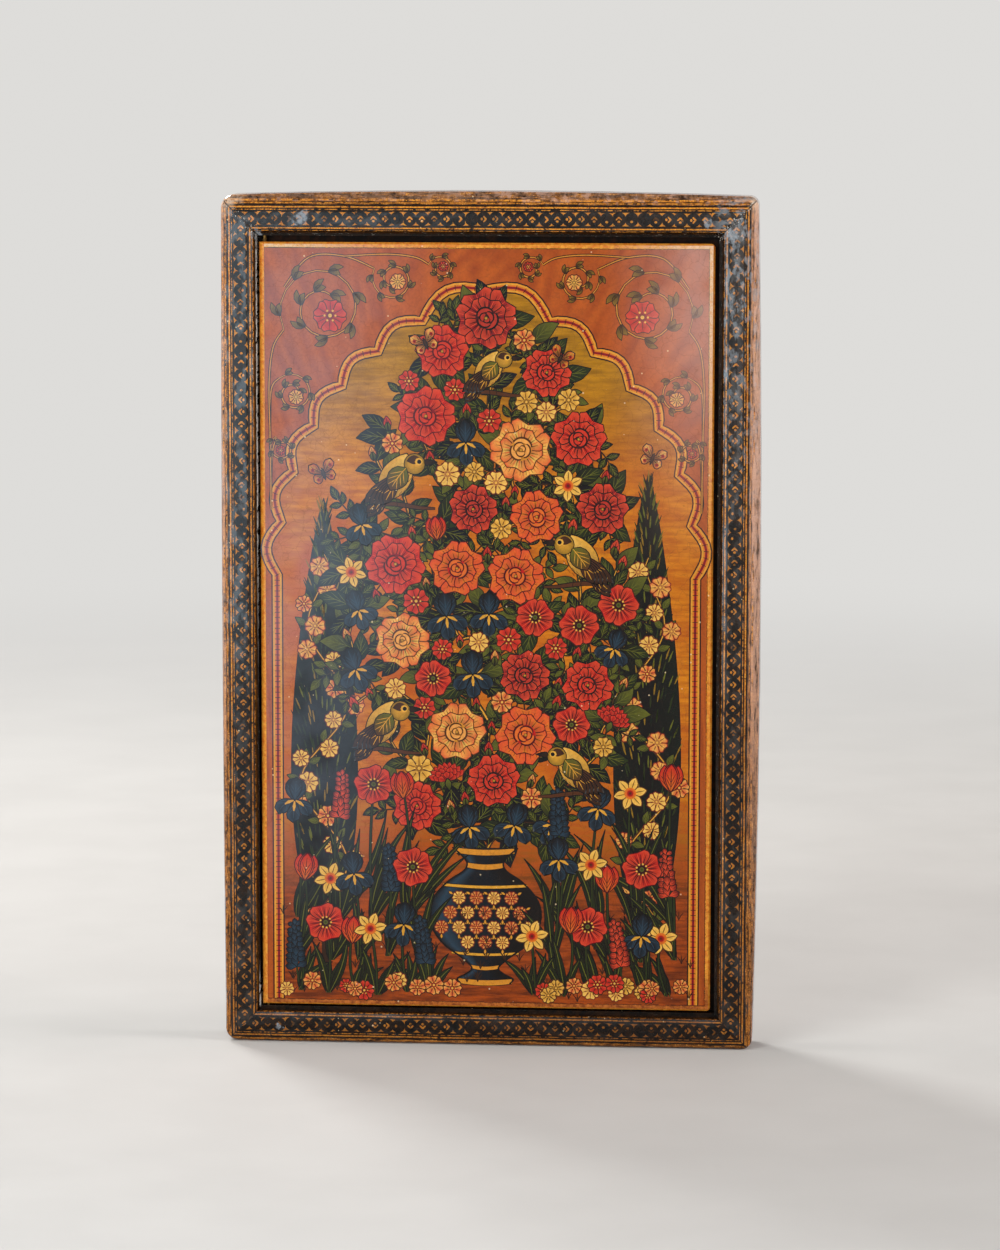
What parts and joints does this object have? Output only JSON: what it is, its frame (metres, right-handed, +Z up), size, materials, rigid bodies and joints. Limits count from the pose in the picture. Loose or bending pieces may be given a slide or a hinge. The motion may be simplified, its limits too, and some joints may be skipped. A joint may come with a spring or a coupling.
{
  "type": "persian lacquer mirror case",
  "caption": "Shallow rectangular lacquered pasteboard case holding a mirror, with a moulded painted frame and a painted shutter that swings open on wire pins.",
  "frame": {"origin": "middle of the bounding box, on the face that the case stands on", "axes": "+Z up along the case's height, +X to the right seen from the painted front, +Y from the front towards the back board"},
  "size_m": [0.1528, 0.014, 0.2434],
  "materials": {
    "frame_lacquer": "gloss",
    "back_lacquer": "gloss",
    "shutter_lacquer": "gloss",
    "mirror_glass": "polished",
    "tin_amalgam": "polished",
    "backing_paper": "matte",
    "gilt_slip": "satin",
    "pivot_brass": "satin"
  },
  "bodies": {
    "case": {"back_board": "back_lacquer", "frame_rail_top": "frame_lacquer", "frame_rail_bottom": "frame_lacquer", "frame_rail_left": "frame_lacquer", "frame_rail_right": "frame_lacquer", "backing_paper": "backing_paper", "tin_foil": "tin_amalgam", "mirror_glass": "mirror_glass", "mirror_slip_top": "gilt_slip", "mirror_slip_bottom": "gilt_slip", "mirror_slip_left": "gilt_slip", "mirror_slip_right": "gilt_slip", "pivot_pin_top": "pivot_brass", "pivot_pin_bottom": "pivot_brass"},
    "shutter": {"shutter_board": "shutter_lacquer", "pivot_ferrule_top": "pivot_brass", "pivot_ferrule_bottom": "pivot_brass"}
  },
  "joints": [
    {"name": "shutter_hinge", "type": "hinge", "parent": "case", "child": "shutter", "pos_m": [-0.0639, -0.00292, 0.12], "axis": [0, 0, -1], "range_deg": [0, 103]}
  ]
}
